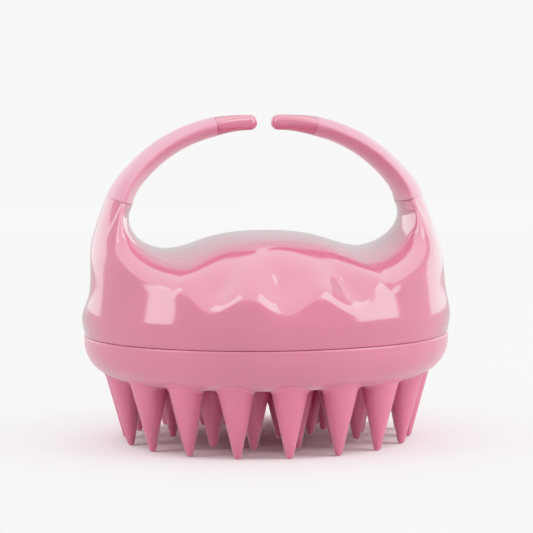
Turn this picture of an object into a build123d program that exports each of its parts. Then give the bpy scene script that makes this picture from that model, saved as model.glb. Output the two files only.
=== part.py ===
"""Scalp massager brush: a silicone bristle pad under a hollow housing with an open ring handle.

Millimetres, +Z up. The bristle tips stand on z = 0, X runs across the two handle arms and -Y is
the front. The origin is below the centre of the round pad.
"""

import os
from math import cos, radians, sin

from build123d import *

os.makedirs("parts", exist_ok=True)

# ---- driving dimensions ------------------------------------------------------------------------
# pad and bristles
PAD_UNDERSIDE = 15.9
PAD_FLOOR = 3.2
PAD_RADIUS = 44.5
PAD_TOP = 26.0
BOWL_START_RADIUS = 36.4
BOWL_MID = (42.5, 18.7)
BOWL_TOP = 24.4
RIM_ROUND = 0.6
LIP_INNER_RADIUS = 38.3
LIP_BOTTOM = 23.1
LIP_TOP = 24.7
PAD_TURN = 2.6  # the pad can turn in its groove, and sits this many degrees off the housing

BRISTLE_ROOT_RADIUS = 4.35
BRISTLE_TIP_RADIUS = 0.95
# name, count, tip circle radius, angle of the first one from the front, tip height, lean
BRISTLE_RINGS = [
    ("bristles_outer_ring", 18, 34.5, 0.0, 0.0, 3.0),
    ("bristles_middle_ring", 14, 23.1, 9.3, 0.43, 0.0),
    ("bristles_inner_ring", 10, 13.9, 3.7, 1.75, 0.0),
]
INNER_RING_ROOT_RADIUS = 4.1

# base plate, which the pad's lip is stretched over
FIT = 0.2
PAD_FLOOR_TOP = PAD_UNDERSIDE + PAD_FLOOR
PLATE_BOTTOM = PAD_FLOOR_TOP + 0.1
FLANGE_RADIUS = 40.2
NECK_RADIUS = 38.0
PLATE_RADIUS = 41.5
PLATE_TOP = 27.3
PLATE_FLOOR = 2.4
DISH_RADIUS = 36.0
RIB_THICKNESS = 1.6
RIB_COUNT = 6
HUB_RADIUS = 6.0

SCREW_SPOTS = [(24.0, 14.0), (-24.0, 14.0), (-24.0, -14.0), (24.0, -14.0)]
SCREW_DIAMETER = 2.9
SCREW_HEAD_DIAMETER = 5.8
SCREW_HEAD_HEIGHT = 2.0
SCREW_END = 38.0
SCREW_BOSS_DIAMETER = 7.5
SCREW_CROSS = (3.4, 0.8, 1.1)  # length, width and depth of the cross recess
PILOT_PLAY = 0.05
COUNTERBORE_DEPTH = 2.5
SCREW_HOLE_DEPTH = 10.0
BOSS_TOP = 44.0

# housing
SEAM_HEIGHT = 26.2
SEAM_RADIUS = 44.3
CREASE_HEIGHT = 29.6
CREASE_RADIUS = 45.0
# height, half width across X and half depth across Y of the outer skin above the crease
SKIN_OVALS = [
    (CREASE_HEIGHT, CREASE_RADIUS, CREASE_RADIUS),
    (35.0, 44.5, 43.9),
    (40.0, 43.9, 41.0),
    (45.0, 43.5, 35.6),
    (49.0, 42.6, 29.6),
    (54.0, 41.0, 23.6),
    (62.0, 37.9, 18.0),
]
WALL = 2.6
LEDGE_RADIUS = 40.4
CAVITY_OVALS = [
    (PLATE_TOP, LEDGE_RADIUS, LEDGE_RADIUS),
    (35.0, 40.4, 38.4),
    (41.0, 39.6, 34.2),
    (48.5, 37.0, 25.5),
]
# half of the finger opening, seen from the front: the saddle's hump, its dip and the arm's inside
SADDLE_HALF = [(0.0, 50.8), (13.4, 49.3), (24.4, 46.8), (31.8, 51.2), (32.7, 55.3), (31.9, 58.5)]
OPENING_TOP = 90.0
OPENING_TOP_HALF_WIDTH = 29.0
SADDLE_CROWN = 5.2
SADDLE_REACH = 46.0

DIMPLE_ANGLES = [-23.0, 0.0, 23.0]
DIMPLE_HEIGHT = 41.0
DIMPLE_SKIN_RADIUS = 40.2
DIMPLE_SLOPE = 42.0
DIMPLE_BALL_RADIUS = 15.0
DIMPLE_DEPTH = 2.6
THUMB_REST_ANGLE = 107.0
THUMB_REST_HEIGHT = 38.5
THUMB_REST_SKIN_RADIUS = 43.9
THUMB_REST_BALL_RADIUS = 12.0
THUMB_REST_DEPTH = 1.6

# handle arms: the middle line from the lower seam to the tip, given for the right arm
ARM_LINE = [(35.3, 59.1), (28.7, 67.9), (17.3, 74.9), (3.5, 77.2)]
ARM_START_TANGENT = (-0.22, 0.975)
ARM_END_TANGENT = (-1.0, 0.0)
# share of the arm's length, thickness, half depth, share of the thickness inside the ridge
ARM_SECTIONS = [
    (0.0, 6.5, 11.5, 0.30),
    (0.2, 5.5, 9.8, 0.31),
    (0.5, 5.0, 7.6, 0.35),
    (0.79, 3.9, 5.4, 0.40),
    (1.0, 3.5, 4.2, 0.45),
]
SLEEVE_SECTIONS = ARM_SECTIONS[:4]
TIP_SECTIONS = ARM_SECTIONS[3:]
RIDGE_ROUND = 0.8
SEAM_GAP = 0.3
ABOVE_SEAM_CUT = (30.0, 60.0, 20.0)  # the block that trims the housing off at an arm's lower seam
TIP_ROUND_ANGLES = [0.0, 30.0, 55.0, 75.0]
SPINE_THICKNESS = 1.6
SPINE_WIDTH = 6.0
SPINE_PLAY = 0.15
SPINE_SOCKET_DEPTH = 12.0
SPINE_END_SHARE = 0.93


def on_circle(radius, angle_from_front, height):
    """A point on a circle about the Z axis, its angle counted from the front (-Y) towards +X."""
    turn = radians(angle_from_front)
    return (radius * sin(turn), -radius * cos(turn), height)


# ---- brush pad ---------------------------------------------------------------------------------
with BuildPart() as brush_pad:
    with BuildSketch(Plane.XZ):
        with BuildLine():
            Polyline(
                (0, PAD_FLOOR_TOP),
                (0, PAD_UNDERSIDE),
                (BOWL_START_RADIUS, PAD_UNDERSIDE),
            )
            ThreePointArc((BOWL_START_RADIUS, PAD_UNDERSIDE), BOWL_MID, (PAD_RADIUS, BOWL_TOP))
            Polyline(
                (PAD_RADIUS, BOWL_TOP),
                (PAD_RADIUS, PAD_TOP),
                (PLATE_RADIUS + FIT, PAD_TOP),
                (PLATE_RADIUS + FIT, LIP_TOP),
                (LIP_INNER_RADIUS, LIP_TOP),
                (LIP_INNER_RADIUS, LIP_BOTTOM),
                (FLANGE_RADIUS + FIT, LIP_BOTTOM),
                (FLANGE_RADIUS + FIT, PAD_FLOOR_TOP),
                (0, PAD_FLOOR_TOP),
            )
        make_face()
    revolve(axis=Axis.Z)
    top_edges = brush_pad.edges().filter_by_position(Axis.Z, PAD_TOP, PAD_TOP)
    fillet(top_edges.sort_by(SortBy.RADIUS)[-1], RIM_ROUND)
brush_pad.part.label = "brush_pad"
export_step(brush_pad.part, "parts/brush_pad.step")


# ---- bristles ----------------------------------------------------------------------------------
def make_bristle(root_radius, tip_height, lean):
    """One tapered bristle with a round tip at the origin, leaning outwards along +X to its root."""
    length = PAD_UNDERSIDE - tip_height
    spare = root_radius * sin(radians(lean))
    with BuildPart() as bristle:
        with BuildSketch(Plane.XZ):
            with BuildLine():
                Line((0, length + spare), (0, 0))
                RadiusArc((0, 0), (BRISTLE_TIP_RADIUS, BRISTLE_TIP_RADIUS), -BRISTLE_TIP_RADIUS)
                Line((BRISTLE_TIP_RADIUS, BRISTLE_TIP_RADIUS), (root_radius, length + spare))
                Line((root_radius, length + spare), (0, length + spare))
            make_face()
        revolve(axis=Axis.Z)
    leaning = Rot(0, lean, 0) * bristle.part
    below_pad = Pos(0, 0, length / 2) * Box(length * 2, length * 2, length)
    return leaning & below_pad


for name, count, radius, first_angle, tip_height, lean in BRISTLE_RINGS:
    root_radius = INNER_RING_ROOT_RADIUS if name == "bristles_inner_ring" else BRISTLE_ROOT_RADIUS
    one_bristle = make_bristle(root_radius, tip_height, lean)
    with BuildPart(Plane.XY.offset(tip_height)) as ring:
        with PolarLocations(radius, count, start_angle=first_angle + PAD_TURN - 90.0):
            add(one_bristle)
    ring.part.label = name
    export_step(ring.part, f"parts/{name}.step")


# ---- base plate --------------------------------------------------------------------------------
with BuildPart() as base_plate:
    with BuildSketch(Plane.XZ):
        with BuildLine():
            Polyline(
                (0, PLATE_BOTTOM),
                (FLANGE_RADIUS, PLATE_BOTTOM),
                (FLANGE_RADIUS, LIP_BOTTOM - FIT),
                (NECK_RADIUS, LIP_BOTTOM - FIT),
                (NECK_RADIUS, LIP_TOP + FIT),
                (PLATE_RADIUS, LIP_TOP + FIT),
                (PLATE_RADIUS, PLATE_TOP - FIT),
                (DISH_RADIUS, PLATE_TOP - FIT),
                (DISH_RADIUS, PLATE_BOTTOM + PLATE_FLOOR),
                (0, PLATE_BOTTOM + PLATE_FLOOR),
                close=True,
            )
        make_face()
    revolve(axis=Axis.Z)
    rib_height = PLATE_TOP - FIT - PLATE_BOTTOM - PLATE_FLOOR
    with Locations((0, 0, PLATE_BOTTOM + PLATE_FLOOR)):
        Cylinder(HUB_RADIUS, rib_height, align=(Align.CENTER, Align.CENTER, Align.MIN))
        with PolarLocations(0, RIB_COUNT, start_angle=30.0):
            Box(DISH_RADIUS, RIB_THICKNESS, rib_height, align=(Align.MIN, Align.CENTER, Align.MIN))
        with Locations(*SCREW_SPOTS):
            Cylinder(SCREW_BOSS_DIAMETER / 2, rib_height, align=(Align.CENTER, Align.CENTER, Align.MIN))
    with Locations((0, 0, PLATE_BOTTOM)):
        with Locations(*[Location((x, y, 0), (180, 0, 0)) for x, y in SCREW_SPOTS]):
            CounterBoreHole(
                SCREW_DIAMETER / 2 + FIT,
                SCREW_HEAD_DIAMETER / 2 + FIT,
                COUNTERBORE_DEPTH,
                SCREW_HOLE_DEPTH,
            )
base_plate.part.label = "base_plate"
export_step(base_plate.part, "parts/base_plate.step")

# ---- screws that hold the plate to the housing ----------------------------------------------------
head_bottom = PLATE_BOTTOM + COUNTERBORE_DEPTH - SCREW_HEAD_HEIGHT
with BuildPart() as one_screw:
    with BuildSketch(Plane.XY.offset(head_bottom)):
        Circle(SCREW_HEAD_DIAMETER / 2)
    extrude(amount=SCREW_HEAD_HEIGHT)
    fillet(one_screw.edges().group_by(Axis.Z)[0], 0.7)
    with BuildSketch(Plane.XY.offset(head_bottom)):
        Rectangle(SCREW_CROSS[0], SCREW_CROSS[1])
        Rectangle(SCREW_CROSS[1], SCREW_CROSS[0])
    extrude(amount=SCREW_CROSS[2], mode=Mode.SUBTRACT)
    with BuildSketch(Plane.XY.offset(head_bottom + SCREW_HEAD_HEIGHT)):
        Circle(SCREW_DIAMETER / 2)
    extrude(amount=SCREW_END - head_bottom - SCREW_HEAD_HEIGHT)
    chamfer(one_screw.edges().group_by(Axis.Z)[-1], 0.8)
with BuildPart() as plate_screws:
    with Locations(*SCREW_SPOTS):
        add(one_screw.part)
plate_screws.part.label = "plate_screws"
export_step(plate_screws.part, "parts/plate_screws.step")

# ---- arm middle line and sections -----------------------------------------------------------------
with BuildLine(Plane.XZ) as arm_line:
    Spline(*ARM_LINE, tangents=(ARM_START_TANGENT, ARM_END_TANGENT))
arm_edge = arm_line.edges()[0]


def arm_plane(share, lift=0.0):
    """The plane across the arm at a share of its length: x points outwards, z along the arm."""
    along = arm_edge.tangent_at(share)
    outward = Vector(along.Z, 0, -along.X)
    return Plane(origin=arm_edge.position_at(share) + along * lift, x_dir=outward, z_dir=along)


def lens(thickness, half_depth, ridge_share, ridge_round=RIDGE_ROUND):
    """The flattened section of an arm, with a ridge at its front and back edges."""
    ridge = thickness * (ridge_share - 0.5)
    with BuildSketch() as section:
        with BuildLine():
            ThreePointArc((ridge, -half_depth), (thickness / 2, 0), (ridge, half_depth))
            ThreePointArc((ridge, half_depth), (-thickness / 2, 0), (ridge, -half_depth))
        make_face()
        fillet(section.vertices(), ridge_round)
    return section.sketch


def make_spine(play):
    """The flat strip inside an arm, from its socket in the housing to inside the tip."""
    start = arm_edge.position_at(0.0)
    foot = start - arm_edge.tangent_at(0.0) * SPINE_SOCKET_DEPTH
    with BuildPart() as spine:
        with BuildLine(Plane.XZ) as route:
            Line((foot.X, foot.Z), (start.X, start.Z))
            add(arm_edge.trim(0.0, SPINE_END_SHARE))
        with BuildSketch(Plane(origin=foot, x_dir=arm_plane(0.0).x_dir, z_dir=arm_plane(0.0).z_dir)):
            Rectangle(SPINE_THICKNESS + 2 * play, SPINE_WIDTH + 2 * play)
        sweep(path=route.wires()[0])
    return spine.part


# ---- housing -----------------------------------------------------------------------------------
def make_opening(drop):
    """The space for the fingers above the saddle, lowered by drop, crowned from front to back."""
    with BuildPart() as opening:
        for reach in (-SADDLE_REACH, 0.0, SADDLE_REACH):
            lower = drop + (SADDLE_CROWN if reach else 0.0)
            half = [(x, z - lower) for x, z in SADDLE_HALF]
            with BuildSketch(Plane.XZ.offset(reach)):
                with BuildLine():
                    Spline(*half, tangents=((1, 0), (-0.25, 1)))
                    Line(half[-1], (OPENING_TOP_HALF_WIDTH, OPENING_TOP))
                    Line((OPENING_TOP_HALF_WIDTH, OPENING_TOP), (0, OPENING_TOP))
                    mirror(about=Plane.YZ)
                make_face()
        loft()
    return opening.part


def make_oval_loft(ovals):
    """A solid through level ovals, each given by its height, half width and half depth."""
    with BuildPart() as body:
        for height, half_width, half_depth in ovals:
            with BuildSketch(Plane.XY.offset(height)):
                Ellipse(half_width, half_depth)
        loft()
    return body.part


spine_socket = make_spine(SPINE_PLAY)
with BuildPart() as cavity:
    add(make_oval_loft(CAVITY_OVALS))
    add(make_opening(WALL), mode=Mode.SUBTRACT)

with BuildPart() as housing:
    add(make_oval_loft(SKIN_OVALS))
    with BuildSketch(Plane.XZ):
        with BuildLine():
            Polyline(
                (0, SEAM_HEIGHT),
                (SEAM_RADIUS, SEAM_HEIGHT),
                (CREASE_RADIUS, CREASE_HEIGHT),
                (0, CREASE_HEIGHT),
                close=True,
            )
        make_face()
    revolve(axis=Axis.Z)
    add(make_opening(0.0), mode=Mode.SUBTRACT)
    for facing in (0.0, 180.0):
        for angle in DIMPLE_ANGLES:
            reach = DIMPLE_BALL_RADIUS - DIMPLE_DEPTH
            ball_radius = DIMPLE_SKIN_RADIUS + reach * cos(radians(DIMPLE_SLOPE))
            ball_height = DIMPLE_HEIGHT + reach * sin(radians(DIMPLE_SLOPE))
            with Locations(on_circle(ball_radius, facing + angle, ball_height)):
                Sphere(DIMPLE_BALL_RADIUS, mode=Mode.SUBTRACT)
    for side in (-1, 1):
        ball_radius = THUMB_REST_SKIN_RADIUS + THUMB_REST_BALL_RADIUS - THUMB_REST_DEPTH
        with Locations(on_circle(ball_radius, side * THUMB_REST_ANGLE, THUMB_REST_HEIGHT)):
            Sphere(THUMB_REST_BALL_RADIUS, mode=Mode.SUBTRACT)
    add(cavity.part, mode=Mode.SUBTRACT)
    with BuildSketch(Plane.XY.offset(SEAM_HEIGHT)):
        Circle(PLATE_RADIUS + FIT)
    extrude(amount=PLATE_TOP - SEAM_HEIGHT, mode=Mode.SUBTRACT)
    with BuildSketch(Plane.XY.offset(PLATE_TOP + FIT)):
        with Locations(*SCREW_SPOTS):
            Circle(SCREW_BOSS_DIAMETER / 2)
            Circle(SCREW_DIAMETER / 2 + PILOT_PLAY, mode=Mode.SUBTRACT)
    extrude(amount=BOSS_TOP - PLATE_TOP - FIT)
    for side in (1, -1):
        cut_plane = arm_plane(0.0, -SEAM_GAP)
        if side < 0:
            cut_plane = Plane(
                origin=(-cut_plane.origin.X, 0, cut_plane.origin.Z),
                x_dir=(cut_plane.x_dir.X, 0, -cut_plane.x_dir.Z),
                z_dir=(-cut_plane.z_dir.X, 0, cut_plane.z_dir.Z),
            )
        with BuildSketch(cut_plane):
            Rectangle(*ABOVE_SEAM_CUT[:2])
        extrude(amount=ABOVE_SEAM_CUT[2], mode=Mode.SUBTRACT)
    add(spine_socket, mode=Mode.SUBTRACT)
    add(spine_socket.mirror(Plane.YZ), mode=Mode.SUBTRACT)
housing.part.label = "housing"
export_step(housing.part, "parts/housing.step")

# ---- arms: a springy spine, a soft grip sleeve over it and a hard tip -----------------------------
right_arm_spine = make_spine(0.0)

with BuildPart() as right_grip_sleeve:
    for share, thickness, half_depth, ridge_share in SLEEVE_SECTIONS:
        with BuildSketch(arm_plane(share)):
            add(lens(thickness, half_depth, ridge_share))
    loft()
    add(spine_socket, mode=Mode.SUBTRACT)

with BuildPart() as right_arm_tip:
    for share, thickness, half_depth, ridge_share in TIP_SECTIONS:
        lift = SEAM_GAP if share < 1.0 else 0.0
        with BuildSketch(arm_plane(share, lift)):
            add(lens(thickness, half_depth, ridge_share))
    loft()
    for angle in TIP_ROUND_ANGLES:
        shrink = cos(radians(angle))
        with BuildSketch(arm_plane(1.0, thickness / 2 * sin(radians(angle)))):
            add(lens(thickness * shrink, half_depth * shrink, ridge_share, RIDGE_ROUND * shrink))
    loft()
    add(spine_socket, mode=Mode.SUBTRACT)

right_pieces = {
    "arm_spine": right_arm_spine,
    "grip_sleeve": right_grip_sleeve.part,
    "arm_tip": right_arm_tip.part,
}
for piece_name, piece in right_pieces.items():
    piece.label = f"right_{piece_name}"
    export_step(piece, f"parts/{piece.label}.step")
    with BuildPart() as left_piece:
        mirror(piece, about=Plane.YZ)
    left_piece.part.label = f"left_{piece_name}"
    export_step(left_piece.part, f"parts/{left_piece.part.label}.step")
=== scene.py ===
"""Looks of the scalp massager brush: glossy housing, silicone pad and bristles, soft handle arms.

The shape is worked out in millimetres, in the CAD model's frame, and turned into metres when a
mesh is made. X runs across the arms, -Y is the front, and the bristle tips stand on z = 0.
"""

from math import cos, pi, radians, sin

import bmesh
import bpy
import numpy as np
from mathutils import Matrix, Vector


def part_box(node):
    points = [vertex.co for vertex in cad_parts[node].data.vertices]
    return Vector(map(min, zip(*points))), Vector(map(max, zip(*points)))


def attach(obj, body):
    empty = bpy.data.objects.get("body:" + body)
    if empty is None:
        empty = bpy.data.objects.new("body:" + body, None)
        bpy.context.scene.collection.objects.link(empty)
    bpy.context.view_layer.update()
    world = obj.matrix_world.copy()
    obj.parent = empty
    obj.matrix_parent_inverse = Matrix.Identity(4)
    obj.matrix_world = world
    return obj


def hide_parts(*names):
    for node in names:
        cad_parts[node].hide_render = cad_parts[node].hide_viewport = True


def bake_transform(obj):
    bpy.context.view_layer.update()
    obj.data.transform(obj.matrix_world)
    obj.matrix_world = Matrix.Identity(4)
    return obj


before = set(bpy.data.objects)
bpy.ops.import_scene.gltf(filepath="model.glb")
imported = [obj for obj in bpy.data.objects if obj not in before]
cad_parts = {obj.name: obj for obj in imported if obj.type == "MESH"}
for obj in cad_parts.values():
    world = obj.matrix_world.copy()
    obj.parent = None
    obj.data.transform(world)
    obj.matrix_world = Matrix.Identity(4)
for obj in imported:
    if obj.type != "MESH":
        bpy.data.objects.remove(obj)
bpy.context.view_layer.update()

MM = 0.001
FORWARD = np.array([0.0, 1.0, 0.0])
UP = np.array([0.0, 0.0, 1.0])

# ---- places read from the frame ------------------------------------------------------------------
pad_low, pad_high = (np.array(corner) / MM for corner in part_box("brush_pad"))
housing_low, _ = (np.array(corner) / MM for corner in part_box("housing"))
PAD_UNDERSIDE = pad_low[2]
PAD_TOP = pad_high[2]
PAD_RADIUS = pad_high[0]
HOUSING_BOTTOM = housing_low[2]

# ---- the pad and its bristles, in millimetres ----------------------------------------------------
# the pad's turn about its axis, in degrees
PAD_TURN = 2.6
# where the flat underside turns up into the bowl, and the height of the bowl's widest place
BOWL_START_RADIUS = 35.4
BOWL_CENTRE_HEIGHT = 24.4
BOWL_INSET = 0.08
# the inward lip that grips the base plate's flange, and its eased edges
LIP_INNER_RADIUS = 38.3
LIP_BOTTOM = 23.1
LIP_TOP = 24.7
LIP_EASE = 0.3
PLATE_MOUTH_RADIUS = 41.7
FLANGE_RADIUS = 40.4
PAD_FLOOR_TOP = 19.1
PAD_CENTRE_RADIUS = 0.5
# the rim under the seam, as inset from the pad's radius and height over its top
PAD_RIM = [(0.05, -1.0), (0.0, -0.7), (0.0, -0.4), (0.06, -0.18), (0.22, -0.04), (0.4, 0.0)]
# how far the pad's lip stands up behind the seam under the housing, and how far in that is
SEAM_LIP = 0.09
SEAM_LIP_INSET = 0.5
BRISTLE_TIP_RADIUS = 0.95
# the fillet at each bristle's root: its height, and its reach as a share of the height
ROOT_FLARE = 1.0
ROOT_FLARE_REACH = 0.8
ROOT_OVERLAP = 0.03
# name, count, tip circle radius, first angle, tip height, lean, root radius
BRISTLE_RINGS = [
    ("bristles_outer_ring", 18, 34.5, 0.0, 0.0, 3.0, 4.35),
    ("bristles_middle_ring", 14, 23.1, 9.3, 0.43, 0.0, 4.35),
    ("bristles_inner_ring", 10, 13.9, 3.7, 1.75, 0.0, 4.1),
]

# ---- the housing, in millimetres -----------------------------------------------------------------
# height, half width and half depth of the wall
WALL_SECTIONS = [
    (26.2, 44.3, 44.3),
    (29.0, 44.85, 44.85),
    (30.4, 45.0, 45.0),
    (36.0, 44.3, 44.3),
    (42.0, 43.7, 42.9),
    (46.0, 43.2, 39.8),
    (49.5, 42.2, 35.6),
    (54.0, 40.7, 29.8),
    (60.0, 38.2, 25.0),
]
# the saddle's hump, dip and the inside of the arm's foot, from the middle outwards
SADDLE_HALF = [(0.0, 50.8), (13.4, 49.3), (24.6, 46.8), (32.3, 51.3), (33.0, 55.3)]
# its direction where it leaves the left foot and where it reaches the right one
SADDLE_START_SLOPE = (-0.25, -1.0)
SADDLE_END_SLOPE = (-0.25, 1.0)
SADDLE_DIP_SPAN = 24.6
SADDLE_DIP_HEIGHT = 46.8
# how much the saddle falls away to the front and back, per square millimetre, at hump and dip
SADDLE_FALL = (0.0026, 0.0036)
# how late the saddle takes up the foot's bend and the foot's depth on the way up to it
FOOT_BEND_POWER = 1.5
FOOT_DEPTH_POWER = 12
# the shoulders between the saddle and the wall, in front and behind
SHOULDER_TOP = 49.0
SHOULDER_DEPTH = 27.3
SHOULDER_SLOPE = 1.54
SHOULDER_SLOPE_ABOVE = 0.45
SHOULDER_EASE = 1.5
SHOULDER_BEND = 0.0077
SHOULDER_SOFTNESS = 3.2
# the finger grooves in each shoulder: bearings and half width in degrees, depth, and fade by height
GROOVE_ANGLES = (-22.6, 0.0, 22.6)
GROOVE_HALF_ANGLE = 11.3
GROOVE_DEPTH = 4.5
GROOVE_FADE = 12.0
# thumb rests low on both sides: bearing from the front and half width in degrees, then height,
# depth, and reach downwards and upwards
THUMB_REST_BEARING = 112.0
THUMB_REST_HALF_ANGLE = 40.0
THUMB_REST_HEIGHT = 38.2
THUMB_REST_DEPTH = 2.9
THUMB_REST_REACH_DOWN = 8.5
THUMB_REST_REACH_UP = 12.0
# the saddle's edge lies between these distances from its line
SADDLE_REACH_RANGE = (3.0, 46.0)
HALVINGS = 40
# the rounding between the saddle and the shoulders, and how fast it shrinks to the foot's own
RIDGE_ROUND = 9.0
RIDGE_ROUND_HASTE = 1.3
# half span at which the rounding stops running straight down the skin, and the width of the change
RIDGE_TURN_SPAN = 23.5
RIDGE_TURN_WIDTH = 4.0
# share of the climb to the foot from which the rounding heads for the foot's outer face
FOOT_TURN_START = 0.5
# how far below the saddle's edge the foot's outer face takes to settle on the wall
FOOT_BLEND = 9.0
# the bottom edge, as inset from the wall and rise over the housing's bottom
BOTTOM_EDGE = [(0.0, 0.0), (0.03, -0.04), (0.1, -0.08), (0.25, -0.1)]
MOUTH_RISES = (-0.1, 1.0)

# ---- the arms, in millimetres --------------------------------------------------------------------
ARM_LINE = [(35.35, 58.8), (31.15, 65.27), (23.96, 71.37), (3.5, 77.13)]
ARM_START_TANGENT = (-0.294, 0.956)
ARM_END_TANGENT = (-1.0, 0.0)
# share of the arm's length, thickness, half depth, share of the thickness inside the ridge, and
# how far from the ridge its rounding starts
ARM_SECTIONS = [
    (0.0, 6.7, 11.5, 0.35, 1.1),
    (0.12, 5.95, 10.5, 0.43, 0.8),
    (0.28, 5.55, 9.1, 0.51, 0.7),
    (0.5, 5.2, 7.6, 0.53, 0.7),
    (0.66, 4.95, 6.5, 0.55, 0.7),
    (0.8, 4.7, 5.4, 0.57, 1.0),
    (0.9, 4.15, 4.8, 0.54, 2.0),
    (1.0, 3.85, 4.2, 0.48, 2.8),
]
# where the seam between sleeve and tip lies, for the right and left arm
UPPER_SEAM_SHARES = {1: 0.767, -1: 0.784}
SEAM_GAP = 0.2
# how far the soft sleeve bulges into the seams, and its eased edge: place along the arm, inset
SEAM_CLOSING = 0.18
SEAM_EDGE = [(0.0, 0.12), (0.03, 0.05), (0.07, 0.015), (0.12, 0.0)]
# how far inside its ends the sleeve has its full section
SLEEVE_END = 0.4
# share of the arm by which the tip's section follows the arm again after its seam
TIP_START = 0.03
# how far round, in degrees, the tip's free end goes before it is closed flat
TIP_END_TURN = 86
SPINE_THICKNESS = 1.6
SPINE_WIDTH = 6.0
SPINE_EDGE_EASE = 0.25
SPINE_SOCKET_DEPTH = 12.0
SPINE_END_SHARE = 0.93
# how far a rounded corner's curve is pulled towards the sharp corner
CORNER_FULLNESS = 0.62

# ---- how fine the meshes are ---------------------------------------------------------------------
SADDLE_COLUMNS = 261
SADDLE_ROWS = 37
FOOT_COLUMNS = 33
ROUNDING_ROWS = 18
SKIN_ROWS = 90
ARC_POINTS = 25
CORNER_POINTS = 9
SLEEVE_ROWS = 72
TIP_ROWS = 22
TIP_END_ROWS = 14
SPINE_ROWS = 40
SOCKET_ROWS = 8
PAD_SEGMENTS = 256
BOWL_ROWS = 28
FLOOR_ROWS = 26
BRISTLE_SEGMENTS = 40
# points that the arm's length is measured and its curve shared out over
LENGTH_POINTS = 2001
ARM_LENGTH_POINTS = 400


# ---- small mathematics ---------------------------------------------------------------------------
# a step small enough to take a slope over
SMALL = 1e-3


def cubic_spline(at, values, start_slope=None, end_slope=None):
    """A function through the given values, smooth to its second derivative."""
    at = np.asarray(at, float)
    values = np.asarray(values, float)
    step = np.diff(at)
    count = len(at)
    matrix = np.zeros((count, count))
    right = np.zeros((count,) + values.shape[1:])
    slopes = (np.diff(values, axis=0).T / step).T
    for i in range(1, count - 1):
        matrix[i, i - 1] = step[i - 1]
        matrix[i, i] = 2 * (step[i - 1] + step[i])
        matrix[i, i + 1] = step[i]
        right[i] = 6 * (slopes[i] - slopes[i - 1])
    matrix[0, 0] = matrix[-1, -1] = 1.0
    if start_slope is not None:
        matrix[0, :2] = 2 * step[0], step[0]
        right[0] = 6 * (slopes[0] - np.asarray(start_slope))
    if end_slope is not None:
        matrix[-1, -2:] = step[-1], 2 * step[-1]
        right[-1] = 6 * (np.asarray(end_slope) - slopes[-1])
    bend = np.linalg.solve(matrix, right)

    def curve(place):
        place = np.asarray(place, float)
        i = np.clip(np.searchsorted(at, place) - 1, 0, count - 2)
        u = (place - at[i]) / step[i]
        h = step[i]
        if values.ndim > 1:
            u = u[..., None]
            h = h[..., None]
        low, high = values[i], values[i + 1]
        curved = ((1 - u) ** 3 - (1 - u)) * bend[i] + (u**3 - u) * bend[i + 1]
        return (1 - u) * low + u * high + curved * h**2 / 6

    return curve


def along_points(points, start_slope=None, end_slope=None):
    """A smooth curve through points, for a share of its length from 0 to 1."""
    points = np.asarray(points, float)
    chord = np.concatenate([[0.0], np.cumsum(np.linalg.norm(np.diff(points, axis=0), axis=1))])
    curve = cubic_spline(chord, points, start_slope, end_slope)
    fine = np.linspace(0, chord[-1], LENGTH_POINTS)
    lengths = np.linalg.norm(np.diff(curve(fine), axis=0), axis=1)
    length = np.concatenate([[0.0], np.cumsum(lengths)])
    return lambda share: curve(np.interp(np.asarray(share) * length[-1], length, fine))


def smooth_step(value):
    """0 below 0, 1 above 1, and smooth between them."""
    value = np.clip(value, 0.0, 1.0)
    return value * value * (3 - 2 * value)


def unit(vectors):
    return vectors / np.linalg.norm(vectors, axis=-1, keepdims=True)


def dot(a, b):
    return (a * b).sum(axis=-1, keepdims=True)


def rounded_corner(start, corner, end, start_normal, end_normal, count):
    """Points from start to end past a corner, flush with the surfaces that have these normals."""
    leave = corner - start
    leave = leave - dot(leave, start_normal) * start_normal
    arrive = corner - end
    arrive = arrive - dot(arrive, end_normal) * end_normal
    near, far = start + CORNER_FULLNESS * leave, end + CORNER_FULLNESS * arrive
    t = np.linspace(0, 1, count).reshape((-1,) + (1,) * start.ndim)
    s = 1 - t
    return s**3 * start + 3 * t * s**2 * near + 3 * t**2 * s * far + t**3 * end


# ---- mesh making ---------------------------------------------------------------------------------
# how near two vertices are when they are made one, in millimetres
WELD = 0.002
HOUSING_WELD = 0.02
# edges that turn by more than this are shaded sharp, in degrees
SHARP_ANGLE = 40.0
BRISTLE_SHARP_ANGLE = 60.0


def grid(points, closed=False):
    """Vertices and faces of a grid of points, rows by columns; closed joins its last column on."""
    rows, columns = points.shape[:2]
    index = np.arange(rows * columns).reshape(rows, columns)
    if closed:
        index = np.concatenate([index, index[:, :1]], axis=1)
    corners = (index[:-1, :-1], index[:-1, 1:], index[1:, 1:], index[1:, :-1])
    faces = np.stack([corner.ravel() for corner in corners], axis=1)
    return points.reshape(-1, 3), faces.tolist()


def make_piece(name, patches, sharp_angle=SHARP_ANGLE, weld=WELD):
    """One mesh object from patches of (vertices, faces) in millimetres, welded where they meet."""
    vertices, faces = [], []
    for points, patch_faces in patches:
        offset = len(vertices)
        vertices.extend((np.asarray(points) * MM).tolist())
        faces.extend([[corner + offset for corner in face] for face in patch_faces])
    mesh = bpy.data.meshes.new(name)
    mesh.from_pydata(vertices, [], faces)
    work = bmesh.new()
    work.from_mesh(mesh)
    bmesh.ops.remove_doubles(work, verts=work.verts, dist=weld * MM)
    bmesh.ops.recalc_face_normals(work, faces=work.faces)
    work.to_mesh(mesh)
    work.free()
    mesh.polygons.foreach_set("use_smooth", [True] * len(mesh.polygons))
    mesh.set_sharp_from_angle(angle=radians(sharp_angle))
    piece = bpy.data.objects.new(name, mesh)
    bpy.context.scene.collection.objects.link(piece)
    return piece


def cap(loop):
    """A flat face over a closed loop of points."""
    return loop, [list(range(len(loop)))]


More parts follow.
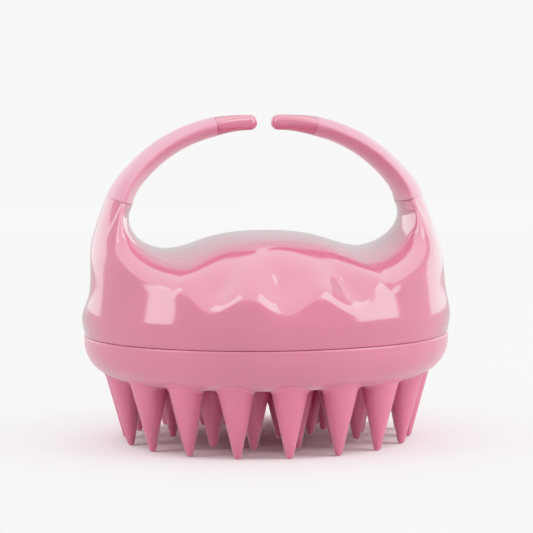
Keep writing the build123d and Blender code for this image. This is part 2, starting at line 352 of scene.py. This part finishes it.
def turned(profile, segments):
    """The surface that an open (radius, height) profile sweeps about the Z axis."""
    angles = np.linspace(0, 2 * pi, segments, endpoint=False)
    radius = profile[:, 0][:, None]
    rows = [radius * np.cos(angles), radius * np.sin(angles)]
    height = np.broadcast_to(profile[:, 1][:, None], rows[0].shape)
    return grid(np.stack([rows[0], rows[1], height], axis=-1), closed=True)


# ---- the handle arm ------------------------------------------------------------------------------
arm_curve = along_points(ARM_LINE, ARM_START_TANGENT, ARM_END_TANGENT)
section_sizes = cubic_spline([s[0] for s in ARM_SECTIONS], [s[1:] for s in ARM_SECTIONS])


def arm_frame(share, side=1):
    """Middle point, outward and lengthwise directions of an arm at a share of its length."""
    x, z = arm_curve(share)
    ahead_x, ahead_z = arm_curve(share + SMALL) if share < 0.5 else (x, z)
    behind_x, behind_z = (x, z) if share < 0.5 else arm_curve(share - SMALL)
    along = unit(np.array([ahead_x - behind_x, 0.0, ahead_z - behind_z]))
    outward = np.array([along[2], 0.0, -along[0]])
    mirror = np.array([side, 1.0, 1.0])
    return np.array([x, 0.0, z]) * mirror, outward * mirror, along * mirror


def arc_depth(y, half_depth, rise):
    """How far a circular arc stands above its chord at y, when it rises by rise in the middle."""
    radius = (half_depth**2 + rise**2) / (2 * rise)
    return np.sqrt(np.maximum(radius**2 - y**2, 0.0)) - (radius - rise)


def lens_loop(thickness, half_depth, ridge_share, round_length):
    """A closed arm section as (outward, y): outer arc, back ridge, inner arc and front ridge."""
    ridge = thickness * (ridge_share - 0.5)
    outer_rise = thickness / 2 - ridge
    inner_rise = thickness / 2 + ridge
    flat = half_depth - round_length
    y = np.linspace(-flat, flat, ARC_POINTS)
    outer = np.stack([ridge + arc_depth(y, half_depth, outer_rise), y], axis=1)
    inner = np.stack([ridge - arc_depth(y, half_depth, inner_rise), y], axis=1)
    corner = np.array([ridge, half_depth])

    def edge_normal(points):
        along = unit(points[-1] - points[-2])
        return np.array([-along[1], along[0]])

    back = rounded_corner(
        outer[-1], corner, inner[-1], edge_normal(outer), edge_normal(inner), CORNER_POINTS
    )
    front = back[::-1] * np.array([1.0, -1.0])
    return np.concatenate([outer, back[1:-1], inner[::-1], front[1:-1]])


def lens_in_space(share, side, lift=0.0, shrink=0.0, scale=1.0):
    """An arm section in space, moved along the arm by lift and pulled in all round by shrink."""
    thickness, half_depth, ridge_share, round_length = section_sizes(share)
    middle, outward, along = arm_frame(share, side)
    loop = lens_loop(
        thickness * scale - 2 * shrink,
        half_depth * scale - 2 * shrink,
        ridge_share,
        round_length * scale,
    )
    return middle + along * lift + loop[:, :1] * outward + loop[:, 1:] * FORWARD


def loft(name, rows):
    """A closed piece over a row of loops, with a flat face at each end."""
    rows = np.array(rows)
    return make_piece(name, [grid(rows, closed=True), cap(rows[0]), cap(rows[-1])])


def make_sleeve(side, name):
    """The soft sleeve between an arm's two seams, its ends rounded into the seam grooves."""
    line = arm_curve(np.linspace(0, 1, ARM_LENGTH_POINTS))
    length = np.linalg.norm(np.diff(line, axis=0), axis=1).sum()
    rows = []
    last = UPPER_SEAM_SHARES[side]
    for place, shrink in SEAM_EDGE:
        rows.append(lens_in_space(0.0, side, lift=place - SEAM_CLOSING, shrink=shrink))
    for share in np.linspace(SLEEVE_END / length, last - SLEEVE_END / length, SLEEVE_ROWS):
        rows.append(lens_in_space(share, side))
    for place, shrink in reversed(SEAM_EDGE):
        rows.append(lens_in_space(last - place / length, side, shrink=shrink))
    return loft(name, rows)


def make_tip(side, name):
    """The hard end cap of an arm, round at its free end."""
    rows = []
    first = UPPER_SEAM_SHARES[side]
    for place, shrink in SEAM_EDGE:
        rows.append(lens_in_space(first, side, lift=SEAM_GAP - SEAM_CLOSING + place, shrink=shrink))
    for share in np.linspace(first + TIP_START, 1.0, TIP_ROWS):
        rows.append(lens_in_space(share, side))
    end_thickness = section_sizes(1.0)[0]
    for angle in np.radians(np.linspace(0, TIP_END_TURN, TIP_END_ROWS))[1:]:
        lift = end_thickness / 2 * sin(angle)
        rows.append(lens_in_space(1.0, side, lift=lift, scale=cos(angle)))
    return loft(name, rows)


def make_spine(side, name):
    """The flat springy strip from the housing's socket to inside the tip, with eased edges."""
    flat = np.array([SPINE_THICKNESS / 2, SPINE_WIDTH / 2]) - SPINE_EDGE_EASE
    corners = []
    for quarter, sign in enumerate([(1, 1), (-1, 1), (-1, -1), (1, -1)]):
        for turn in np.linspace(0, pi / 2, 4) + quarter * pi / 2:
            ease = SPINE_EDGE_EASE * np.array([cos(turn), sin(turn)])
            corners.append(np.array(sign) * flat + ease)
    corners = np.array(corners)
    depths = np.linspace(-SPINE_SOCKET_DEPTH, 0, SOCKET_ROWS, endpoint=False)
    places = [(0.0, lift) for lift in depths]
    places += [(share, 0.0) for share in np.linspace(0, SPINE_END_SHARE, SPINE_ROWS)]
    rows = []
    for share, lift in places:
        middle, outward, along = arm_frame(share, side)
        centre = middle + along * lift
        rows.append(centre + corners[:, :1] * outward + corners[:, 1:] * FORWARD)
    return loft(name, rows)


# ---- the housing ---------------------------------------------------------------------------------
wall_heights, wall_widths, wall_depths = zip(*WALL_SECTIONS)
skin_width = cubic_spline(wall_heights, wall_widths)
skin_depth = cubic_spline(wall_heights, wall_depths)


def smooth_min(a, b, reach):
    """The smaller of a and b, rounded off where they are within reach of each other."""
    near = np.maximum(reach - np.abs(a - b), 0.0) / reach
    return np.minimum(a, b) - near * near * reach / 4


def bump_profile(share):
    """1 in the middle, 0 at plus or minus 1 and beyond, smooth all the way."""
    inside = np.maximum(1 - share * share, 0.0)
    return inside * inside


def skin_radius(angle, height):
    """The skin's radius at a polar angle and height: wall, sloping shoulders, grooves and rests."""
    height = np.clip(height, wall_heights[0], wall_heights[-1])
    ahead, aside = np.abs(np.sin(angle)), np.cos(angle)
    wall = 1 / np.sqrt((aside / skin_width(height)) ** 2 + (ahead / skin_depth(height)) ** 2)
    bearing = np.degrees(np.arctan2(aside, -np.sin(angle)))
    across = (np.abs(bearing) - THUMB_REST_BEARING) / THUMB_REST_HALF_ANGLE
    above = height - THUMB_REST_HEIGHT
    above = above / np.where(above < 0, THUMB_REST_REACH_DOWN, THUMB_REST_REACH_UP)
    wall = wall - THUMB_REST_DEPTH * bump_profile(across) * bump_profile(above)
    # the shoulder that slopes back from the wall to the saddle, scooped by the finger grooves
    drop = SHOULDER_TOP - height
    below = (drop + np.sqrt(drop**2 + SHOULDER_EASE**2)) / 2
    reach = SHOULDER_DEPTH + SHOULDER_SLOPE_ABOVE * (drop - below) + SHOULDER_SLOPE * below
    scoop = np.zeros_like(reach)
    along = np.degrees(np.arctan2(aside, ahead))
    for place in GROOVE_ANGLES:
        across = np.clip((along - place) / GROOVE_HALF_ANGLE, -1, 1)
        scoop = scoop + GROOVE_DEPTH * np.cos(across * pi / 2) ** 2
    fade = smooth_step(drop / GROOVE_FADE)
    reach = reach - scoop * fade
    bend = SHOULDER_BEND * aside**2
    shoulder = 2 * reach / (ahead + np.sqrt(ahead**2 + 4 * bend * np.maximum(reach, 0.1)))
    return smooth_min(wall, shoulder, SHOULDER_SOFTNESS)


def on_skin(angle, height):
    radius = skin_radius(angle, height)
    return np.stack([radius * np.cos(angle), radius * np.sin(angle), height], axis=-1)


def skin_normal(angle, height):
    by_angle = on_skin(angle + SMALL, height) - on_skin(angle - SMALL, height)
    by_height = on_skin(angle, height + SMALL) - on_skin(angle, height - SMALL)
    return unit(np.cross(by_angle, by_height))


def polar(points):
    return np.arctan2(points[..., 1], points[..., 0])


def skin_below(top):
    """Rows of the skin from a line round its top down to the housing's bottom."""
    angle, top_height = polar(top), top[:, 2]
    mismatch = top - on_skin(angle, top_height)
    rows = []
    for share in np.linspace(0, 1, SKIN_ROWS):
        height = top_height + (HOUSING_BOTTOM - top_height) * share
        fade = 1 - smooth_step((top_height - height) / FOOT_BLEND)
        rows.append(on_skin(angle, height) + mismatch * fade[:, None])
    return np.array(rows)


def underside(bottom_row):
    """Rows from the skin's bottom edge in to the mouth that the base plate fills."""
    outline = bottom_row * (1 - UP)
    bearing = unit(outline)
    radius = np.linalg.norm(outline, axis=-1, keepdims=True)
    rows = []
    for inset, rise in BOTTOM_EDGE:
        rows.append(bearing * (radius - inset) + UP * (HOUSING_BOTTOM + rise))
    for rise in MOUTH_RISES:
        rows.append(bearing * PLATE_MOUTH_RADIUS + UP * (HOUSING_BOTTOM + rise))
    return np.array(rows)


def make_housing(name):
    """The glossy shell: wall, grooved shoulders, crowned saddle, rounded ridges and arm feet."""
    middle, outward, along = arm_frame(0.0)
    foot = middle - along * SEAM_GAP
    thickness, half_depth, ridge_share, foot_round = section_sizes(0.0)
    ridge = thickness * (ridge_share - 0.5)
    outer_rise, inner_rise = thickness / 2 - ridge, thickness / 2 + ridge
    inner_foot = foot - outward * thickness / 2

    # the saddle's line from the left arm's foot over the hump to the right arm's foot
    half = SADDLE_HALF + [(inner_foot[0], inner_foot[2])]
    line = [(-x, z) for x, z in half[:0:-1]] + half
    saddle_line = along_points(line, SADDLE_START_SLOPE, SADDLE_END_SLOPE)
    spine = saddle_line(np.linspace(0, 1, SADDLE_COLUMNS))
    level = np.zeros(SADDLE_COLUMNS)
    spine = np.stack([spine[:, 0], level, spine[:, 1]], axis=-1)
    tangent = unit(np.gradient(spine, axis=0))
    airward = np.stack([-tangent[:, 2], level, tangent[:, 0]], axis=-1)
    span = np.abs(spine[:, 0])
    height = spine[:, 2]
    # how far round each column is from the saddle's dip up to the foot
    climb = np.clip((height - SADDLE_DIP_HEIGHT) / (inner_foot[2] - SADDLE_DIP_HEIGHT), 0, 1)
    climb = climb * (span > SADDLE_DIP_SPAN)
    fall_low = np.interp(span, [0.0, SADDLE_DIP_SPAN], SADDLE_FALL[:2])
    fall = fall_low + (inner_rise / half_depth**2 - fall_low) * climb**FOOT_BEND_POWER

    def sheet(across):
        """The saddle at a signed distance from its line towards the back."""
        return spine - airward * (fall * across**2)[:, None] + FORWARD * across[:, None]

    # the distance at which the sheet comes out through the skin, found by halving
    low, high = level + SADDLE_REACH_RANGE[0], level + SADDLE_REACH_RANGE[1]
    for _ in range(HALVINGS):
        reach = (low + high) / 2
        at = sheet(reach)
        inside = np.hypot(at[:, 0], at[:, 1]) < skin_radius(polar(at), at[:, 2])
        low, high = np.where(inside, reach, low), np.where(inside, high, reach)
    reach = reach + (half_depth - reach) * climb**FOOT_DEPTH_POWER

    shrink = smooth_step(climb * RIDGE_ROUND_HASTE)
    round_length = RIDGE_ROUND + (foot_round - RIDGE_ROUND) * shrink
    flat = reach - round_length
    sheet_rows = np.array([sheet(share * flat) for share in np.linspace(-1, 1, SADDLE_ROWS)])

    def sheet_normal(across):
        by_line = np.gradient(sheet(across), axis=0)
        by_depth = sheet(across + SMALL) - sheet(across - SMALL)
        return unit(np.cross(by_line, by_depth))

    def foot_arc(side):
        """The outer arc of a foot's end, from front to back."""
        y = np.linspace(-1, 1, FOOT_COLUMNS) * (half_depth - foot_round)
        out = ridge + arc_depth(y, half_depth, outer_rise)
        mirror = np.array([side, 1.0, 1.0])
        return (foot + out[:, None] * outward + y[:, None] * FORWARD) * mirror

    # the rounding ends on the foot's outer arc, this far from the ridge
    foot_offset = foot_arc(1)[-1] - sheet(reach)[-1]
    foot_share = smooth_step((climb - FOOT_TURN_START) / (1 - FOOT_TURN_START))[:, None]

    edge_lines = {}
    for end in (-1, 1):
        edge = sheet(end * reach)
        mismatch = edge - on_skin(polar(edge), edge[:, 2])
        normal = skin_normal(polar(edge), edge[:, 2])
        ridge_along = unit(np.gradient(edge, axis=0))
        away = unit(np.cross(ridge_along, normal)) * end
        away = away * -np.sign(dot(away, airward))
        lower = edge + away * round_length[:, None]
        # between the feet the rounding runs straight down the skin, so its columns never cross
        freed = smooth_step((span - RIDGE_TURN_SPAN) / RIDGE_TURN_WIDTH)
        turn = polar(edge) + freed * (polar(lower) - polar(edge))
        lower = on_skin(turn, lower[:, 2]) + mismatch
        mirrors = np.stack([np.sign(edge[:, 0]), level + end, level + 1], axis=-1)
        edge_lines[end] = lower + foot_share * (edge + foot_offset * mirrors - lower)

    # the skin's top line all round: front ridge, right foot, back ridge, left foot
    right, left = foot_arc(1), foot_arc(-1)
    top = np.concatenate([edge_lines[-1], right[1:-1], edge_lines[1][::-1], left[-2:0:-1]])
    skin_rows = skin_below(top)
    patches = [grid(sheet_rows), grid(skin_rows, closed=True)]

    # the rounded ridges lead from the saddle over to the skin
    top_along = np.roll(top, -1, axis=0) - np.roll(top, 1, axis=0)
    top_normal = unit(np.cross(top_along, skin_rows[0] - skin_rows[1]))
    back_start = SADDLE_COLUMNS + len(right) - 2
    back_normal = top_normal[back_start : back_start + SADDLE_COLUMNS][::-1]
    top_normals = {-1: top_normal[:SADDLE_COLUMNS], 1: back_normal}
    rounded = {}
    for end in (-1, 1):
        rounded[end] = rounded_corner(
            sheet(end * flat),
            sheet(end * reach),
            edge_lines[end],
            sheet_normal(end * flat),
            top_normals[end],
            ROUNDING_ROWS,
        )
        patches.append(grid(rounded[end]))

    patches.append(grid(underside(skin_rows[-1]), closed=True))

    # the flat end of each foot, in the seam under the sleeve
    for column, arc in ((-1, right), (0, left)):
        back, front = rounded[1][1:-1, column], rounded[-1][-2:0:-1, column]
        patches.append(cap(np.concatenate([sheet_rows[:, column], back, arc[::-1], front])))
    return make_piece(name, patches, weld=HOUSING_WELD)


# ---- pad and bristles ----------------------------------------------------------------------------
def pad_surface_height(radius):
    """The height of the pad's underside and bowl at a radius."""
    share = np.clip((radius - BOWL_START_RADIUS) / (PAD_RADIUS - BOWL_START_RADIUS), 0, 0.999)
    drop = BOWL_CENTRE_HEIGHT - PAD_UNDERSIDE
    return BOWL_CENTRE_HEIGHT - drop * np.sqrt(1 - share**2)


def make_pad(name):
    """The silicone pad: flat underside, round bowl, rim and the lip that grips the plate."""
    turns = np.linspace(0, pi / 2, BOWL_ROWS)
    bowl_radius = PAD_RADIUS - BOWL_INSET - BOWL_START_RADIUS
    bowl_depth = BOWL_CENTRE_HEIGHT - PAD_UNDERSIDE
    bowl_radii = BOWL_START_RADIUS + bowl_radius * np.sin(turns)
    bowl = np.stack([bowl_radii, BOWL_CENTRE_HEIGHT - bowl_depth * np.cos(turns)], axis=1)
    floor_radii = np.linspace(PAD_CENTRE_RADIUS, BOWL_START_RADIUS, FLOOR_ROWS)[:-1]
    floor = np.stack([floor_radii, np.full_like(floor_radii, PAD_UNDERSIDE)], axis=1)
    rim = [(PAD_RADIUS - inset, PAD_TOP + rise) for inset, rise in PAD_RIM]
    lip = [
        (PAD_RADIUS - SEAM_LIP_INSET, PAD_TOP + SEAM_LIP),
        (PLATE_MOUTH_RADIUS, PAD_TOP + SEAM_LIP),
        (PLATE_MOUTH_RADIUS, LIP_TOP),
        (LIP_INNER_RADIUS + LIP_EASE, LIP_TOP),
        (LIP_INNER_RADIUS, LIP_TOP - LIP_EASE),
        (LIP_INNER_RADIUS, LIP_BOTTOM + LIP_EASE),
        (LIP_INNER_RADIUS + LIP_EASE, LIP_BOTTOM),
        (FLANGE_RADIUS, LIP_BOTTOM),
        (FLANGE_RADIUS, PAD_FLOOR_TOP),
        (PAD_CENTRE_RADIUS, PAD_FLOOR_TOP),
    ]
    profile = np.concatenate([floor, bowl, rim, lip])
    vertices, faces = turned(profile, PAD_SEGMENTS)
    first_loop, last_loop = vertices[:PAD_SEGMENTS], vertices[-PAD_SEGMENTS:]
    return make_piece(name, [(vertices, faces), cap(first_loop), cap(last_loop)])


def bristle_patch(foot_radius, turn, tip_height, lean, root_radius):
    """One tapered bristle: round tip, straight flank and a root that flares into the pad."""
    angles = np.linspace(0, 2 * pi, BRISTLE_SEGMENTS, endpoint=False)
    outward = np.array([sin(turn), -cos(turn), 0.0])
    sideways = np.array([cos(turn), sin(turn), 0.0])
    slant = np.tan(radians(lean))
    length = PAD_UNDERSIDE - tip_height
    flank = (root_radius - BRISTLE_TIP_RADIUS) / (length - BRISTLE_TIP_RADIUS)
    direction = np.cos(angles)[:, None] * outward + np.sin(angles)[:, None] * sideways

    def ring(height, radius):
        """A level ring of the bristle at a height above its tip; both may differ round it."""
        centre = (foot_radius + slant * height)[:, None] * outward
        rise = (tip_height + height)[:, None] * UP
        return centre + radius[:, None] * direction + rise

    same = np.ones(BRISTLE_SEGMENTS)
    rows = []
    for swing in np.radians(np.linspace(8, 78, 9)):
        rise = BRISTLE_TIP_RADIUS * (1 - cos(swing))
        rows.append(ring(same * rise, same * BRISTLE_TIP_RADIUS * sin(swing)))
    # where each flank line meets the pad
    meet = same * length
    for _ in range(12):
        radius = BRISTLE_TIP_RADIUS + flank * (meet - BRISTLE_TIP_RADIUS)
        reached = ring(meet, radius)
        meet = pad_surface_height(np.hypot(reached[:, 0], reached[:, 1])) - tip_height
    flare_start = meet - ROOT_FLARE
    for share in np.linspace(0, 1, 12):
        height = BRISTLE_TIP_RADIUS + (flare_start - BRISTLE_TIP_RADIUS) * share
        rows.append(ring(height, BRISTLE_TIP_RADIUS + flank * (height - BRISTLE_TIP_RADIUS)))
    for swing in np.radians(np.linspace(0, 90, 7))[1:]:
        height = flare_start + ROOT_FLARE * sin(swing)
        radius = BRISTLE_TIP_RADIUS + flank * (height - BRISTLE_TIP_RADIUS)
        rows.append(ring(height, radius + ROOT_FLARE * ROOT_FLARE_REACH * (1 - cos(swing))))
    # the last ring follows the pad's surface, just inside it
    last = rows[-1]
    last[:, 2] = pad_surface_height(np.hypot(last[:, 0], last[:, 1])) + ROOT_OVERLAP
    rows = np.array(rows)
    return [grid(rows, closed=True), cap(rows[0])]


def make_bristles(name, count, radius, first_angle, tip_height, lean, root_radius):
    """A ring of bristles, its first one at first_angle from the front."""
    patches = []
    for step in range(count):
        turn = radians(first_angle + PAD_TURN) + 2 * pi * step / count
        patches += bristle_patch(radius, turn, tip_height, lean, root_radius)
    return make_piece(name, patches, sharp_angle=BRISTLE_SHARP_ANGLE)


# ---- materials -----------------------------------------------------------------------------------
def plain_material(name):
    """A new material with its Principled shader, ready for textures."""
    material = bpy.data.materials.new(name)
    material.use_nodes = True
    return material, material.node_tree, material.node_tree.nodes["Principled BSDF"]


def link(tree, source, output, target, socket):
    tree.links.new(source.outputs[output], target.inputs[socket])


def noise(tree, scale, detail):
    """A noise texture in the object's own metres."""
    place = tree.nodes.new("ShaderNodeTexCoord")
    texture = tree.nodes.new("ShaderNodeTexNoise")
    texture.inputs["Scale"].default_value = scale
    texture.inputs["Detail"].default_value = detail
    texture.inputs["Roughness"].default_value = 0.5
    link(tree, place, "Object", texture, "Vector")
    return texture


def ramp(tree, source, low, high):
    """A colour ramp from low to high over a noise texture's middle values."""
    node = tree.nodes.new("ShaderNodeValToRGB")
    ends = node.color_ramp.elements
    ends[0].position, ends[0].color = 0.35, low
    ends[1].position, ends[1].color = 0.65, high
    link(tree, source, "Fac", node, "Fac")
    return node


def spread(tree, source, low, high):
    """A noise texture's middle values mapped to the range from low to high."""
    node = tree.nodes.new("ShaderNodeMapRange")
    node.inputs["From Min"].default_value = 0.3
    node.inputs["From Max"].default_value = 0.7
    node.inputs["To Min"].default_value = low
    node.inputs["To Max"].default_value = high
    link(tree, source, "Fac", node, "Value")
    return node


def bump(tree, source, strength, distance, below=None):
    """A bump from a texture's height, on top of another bump if one is given."""
    node = tree.nodes.new("ShaderNodeBump")
    node.inputs["Strength"].default_value = strength
    node.inputs["Distance"].default_value = distance
    link(tree, source, "Fac", node, "Height")
    if below is not None:
        link(tree, below, "Normal", node, "Normal")
    return node


# for each slot: the material's name, colour and roughness, the weight and roughness of its coat,
# how much light goes in, the grain's scale and its depth in metres, and the sheen's weight and
# roughness
PLASTICS = {
    "gloss_shell": {
        "name": "pink_gloss_abs",
        "colour": (0.51, 0.16, 0.235),
        "roughness": 0.10,
        "coat": (1.0, 0.12),
        "subsurface": 0.10,
        "grain": (2600.0, 0.000002),
    },
    "pad_silicone": {
        "name": "pink_pad_silicone",
        "colour": (0.53, 0.165, 0.245),
        "roughness": 0.42,
        "coat": (0.7, 0.3),
        "subsurface": 0.2,
        "grain": (1900.0, 0.00001),
        "sheen": (0.45, 0.3),
    },
    "bristle_silicone": {
        "name": "pink_bristle_silicone",
        "colour": (0.60, 0.19, 0.285),
        "roughness": 0.38,
        "coat": (0.3, 0.12),
        "subsurface": 0.25,
        "grain": (1900.0, 0.00001),
    },
    "sleeve_rubber": {
        "name": "pink_soft_touch_rubber",
        "colour": (0.56, 0.22, 0.31),
        "roughness": 0.45,
        "coat": (0.8, 0.35),
        "subsurface": 0.12,
        "grain": (3200.0, 0.00002),
        "sheen": (0.6, 0.4),
    },
    "inner_plastic": {
        "name": "pink_inner_abs",
        "colour": (0.78, 0.36, 0.46),
        "roughness": 0.4,
        "coat": (0.0, 0.12),
        "subsurface": 0.05,
        "grain": (1500.0, 0.00002),
    },
    "spine_plastic": {
        "name": "natural_polypropylene",
        "colour": (0.8, 0.77, 0.73),
        "roughness": 0.4,
        "coat": (0.0, 0.12),
        "subsurface": 0.2,
        "grain": (1500.0, 0.00002),
    },
}


def set_inputs(shader, values):
    for socket, value in values.items():
        shader.inputs[socket].default_value = value


def moulded_plastic(name, colour, roughness, coat, subsurface, grain, sheen=(0.0, 0.5)):
    """Plastic or silicone: slight colour drift, uneven gloss and a fine moulded surface."""
    material, tree, shader = plain_material(name)
    drift = noise(tree, scale=45.0, detail=2.0)
    darker = tuple(0.96 * channel for channel in colour) + (1.0,)
    lighter = tuple(min(1.0, 1.03 * channel) for channel in colour) + (1.0,)
    link(tree, ramp(tree, drift, darker, lighter), "Color", shader, "Base Color")
    smear = noise(tree, scale=160.0, detail=4.0)
    gloss = spread(tree, smear, roughness * 0.88, roughness * 1.15)
    link(tree, gloss, "Result", shader, "Roughness")
    waves = bump(tree, noise(tree, scale=120.0, detail=1.0), strength=0.12, distance=0.00003)
    grain_noise = noise(tree, scale=grain[0], detail=5.0)
    surface = bump(tree, grain_noise, strength=0.35, distance=grain[1], below=waves)
    link(tree, surface, "Normal", shader, "Normal")
    look = {
        "Coat Weight": coat[0],
        "Coat Roughness": coat[1],
        "Coat IOR": 1.8,
        "IOR": 1.5,
        "Subsurface Weight": subsurface,
        "Subsurface Radius": (1.0, 0.45, 0.5),
        "Subsurface Scale": 0.003,
        "Sheen Weight": sheen[0],
        "Sheen Roughness": sheen[1],
    }
    set_inputs(shader, look)
    return material


def screw_steel():
    """Zinc-plated steel with fine scratches."""
    material, tree, shader = plain_material("zinc_plated_steel")
    set_inputs(shader, {"Metallic": 1.0, "Base Color": (0.58, 0.59, 0.62, 1.0)})
    scratch = noise(tree, scale=900.0, detail=6.0)
    link(tree, spread(tree, scratch, 0.22, 0.42), "Result", shader, "Roughness")
    link(tree, bump(tree, scratch, strength=0.3, distance=0.00001), "Normal", shader, "Normal")
    return material


materials = {slot: moulded_plastic(**look) for slot, look in PLASTICS.items()}
materials["screw_steel"] = screw_steel()


def give_material(piece, slot_name):
    piece.data.materials.clear()
    piece.data.materials.append(materials[slot_name])


def dress(piece, slot_name, node):
    """Gives a piece its slot's material and lets it stand for a CAD node."""
    give_material(piece, slot_name)
    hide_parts(node)
    return piece


# ---- the pieces on their bodies ------------------------------------------------------------------
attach(dress(make_housing("housing_shell"), "gloss_shell", "housing"), "brush")
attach(dress(make_pad("silicone_pad"), "pad_silicone", "brush_pad"), "brush")
for node, *sizes in BRISTLE_RINGS:
    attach(dress(make_bristles(node + "_soft", *sizes), "bristle_silicone", node), "brush")

for side, word in ((1, "right"), (-1, "left")):
    body = word + "_arm"
    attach(dress(make_tip(side, word + "_tip_cap"), "gloss_shell", word + "_arm_tip"), body)
    # the ends of the arm's lower half, from its foot to its middle
    bend_start, bend_end = (Vector(arm_frame(share, side)[0] * MM) for share in (0.0, 0.5))
    sleeve = dress(make_sleeve(side, word + "_soft_sleeve"), "sleeve_rubber", word + "_grip_sleeve")
    spine = dress(make_spine(side, word + "_inner_spine"), "spine_plastic", word + "_arm_spine")
    for piece in (sleeve, spine):
        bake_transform(piece)

give_material(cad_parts["base_plate"], "inner_plastic")
give_material(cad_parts["plate_screws"], "screw_steel")

# ---- stage, light and camera ---------------------------------------------------------------------
# all in metres and degrees; the camera's shift is a share of its sensor
CAMERA_AZIMUTH = -6.0
CAMERA_ELEVATION = 4.3
CAMERA_DISTANCE = 0.5245
CAMERA_TARGET = (0.0, 0.0, 0.0403)
CAMERA_LENS = 144.9
CAMERA_SHIFT_X = 0.0019
CAMERA_SHIFT_Y = 0.0129
CAMERA_ROLL = -0.55
STAGE_HALF_WIDTH = 3.0
FLOOR_FRONT = -2.5
FLOOR_BACK = 1.4
BACKDROP_BEND = 0.6
BACKDROP_TOP = 3.0
LIGHT_TARGET = (0.0, 0.0, 0.04)
# name, place, width, height, power, whether it shows in reflections
SOFTBOXES = [
    ("left_softbox", (-1.06, -0.3, 0.8), 0.52, 1.65, 7.0, True),
    ("right_softbox", (1.01, -0.43, 0.83), 0.88, 1.65, 14.0, True),
    ("left_rear_softbox", (-0.7, 1.0, 0.32), 0.75, 0.6, 1.5, True),
    ("right_rear_softbox", (0.85, 0.9, 0.34), 1.0, 0.68, 3.4, True),
    ("top_softbox", (0.0, 0.1, 1.1), 1.8, 1.8, 10.0, True),
    ("front_softbox", (0.0, -0.95, 0.62), 0.5, 0.16, 1.0, False),
]
BACKDROP_LIGHT = ("backdrop_light", (0.0, 0.8, 0.55), 2.4, 0.3, 6.0, False)
BACKDROP_LIGHT_TARGET = (0.0, 1.6, 0.0)
BACKDROP_LIGHT_SPREAD = 110.0
SURROUND_STRENGTH = 0.7


def make_stage():
    """A pale floor and, behind the object, a pale backdrop that curves up from it."""
    floor = [(FLOOR_FRONT, 0.0), (FLOOR_BACK, 0.0)]
    backdrop = [(FLOOR_BACK, 0.0)]
    for angle in np.linspace(0, pi / 2, 16)[1:]:
        rise = BACKDROP_BEND * (1 - cos(angle))
        backdrop.append((FLOOR_BACK + BACKDROP_BEND * sin(angle), rise))
    backdrop.append((FLOOR_BACK + BACKDROP_BEND, BACKDROP_TOP))
    material, _, shader = plain_material("pale_paper")
    set_inputs(shader, {"Base Color": (0.88, 0.88, 0.88, 1.0), "Roughness": 0.9})
    sides = (-STAGE_HALF_WIDTH, STAGE_HALF_WIDTH)
    for name, profile in (("studio_floor", floor), ("studio_backdrop", backdrop)):
        rows = np.array([[(x, y, z) for x in sides] for y, z in profile]) / MM
        sheet = make_piece(name, [grid(rows)])
        sheet.data.materials.append(material)
        sheet.visible_glossy = False


def softbox(name, place, width, height, power, reflected, target=LIGHT_TARGET):
    """A rectangular area light that faces the target."""
    lamp = bpy.data.lights.new(name, "AREA")
    lamp.shape = "RECTANGLE"
    lamp.size = width
    lamp.size_y = height
    lamp.energy = power
    light = bpy.data.objects.new(name, lamp)
    light.location = place
    light.rotation_euler = (Vector(target) - Vector(place)).to_track_quat("-Z", "Y").to_euler()
    light.visible_glossy = reflected
    bpy.context.scene.collection.objects.link(light)
    return light


def make_light():
    """Soft studio light: softboxes at the sides, behind and above, and a pale surround."""
    for box in SOFTBOXES:
        softbox(*box)
    backdrop = softbox(*BACKDROP_LIGHT, target=BACKDROP_LIGHT_TARGET)
    backdrop.data.spread = radians(BACKDROP_LIGHT_SPREAD)
    world = bpy.data.worlds.new("pale_surround")
    world.use_nodes = True
    background = world.node_tree.nodes["Background"]
    set_inputs(background, {"Color": (1.0, 1.0, 1.0, 1.0), "Strength": SURROUND_STRENGTH})
    bpy.context.scene.world = world


def make_camera():
    """The camera in front of the object, a little to its left and just above it."""
    azimuth, elevation = radians(CAMERA_AZIMUTH), radians(CAMERA_ELEVATION)
    back = Vector((sin(azimuth) * cos(elevation), -cos(azimuth) * cos(elevation), sin(elevation)))
    target = Vector(CAMERA_TARGET)
    lens = bpy.data.cameras.new("camera")
    lens.sensor_width = 36.0
    lens.lens = CAMERA_LENS
    lens.shift_x = CAMERA_SHIFT_X
    lens.shift_y = CAMERA_SHIFT_Y
    lens.clip_end = 20.0
    camera = bpy.data.objects.new("camera", lens)
    facing = (-back).to_track_quat("-Z", "Y").to_matrix().to_4x4()
    roll = Matrix.Rotation(radians(CAMERA_ROLL), 4, "Z")
    camera.matrix_world = Matrix.Translation(target + back * CAMERA_DISTANCE) @ facing @ roll
    bpy.context.scene.collection.objects.link(camera)
    bpy.context.scene.camera = camera


bpy.context.scene.view_settings.view_transform = "Khronos PBR Neutral"
make_stage()
make_light()
make_camera()
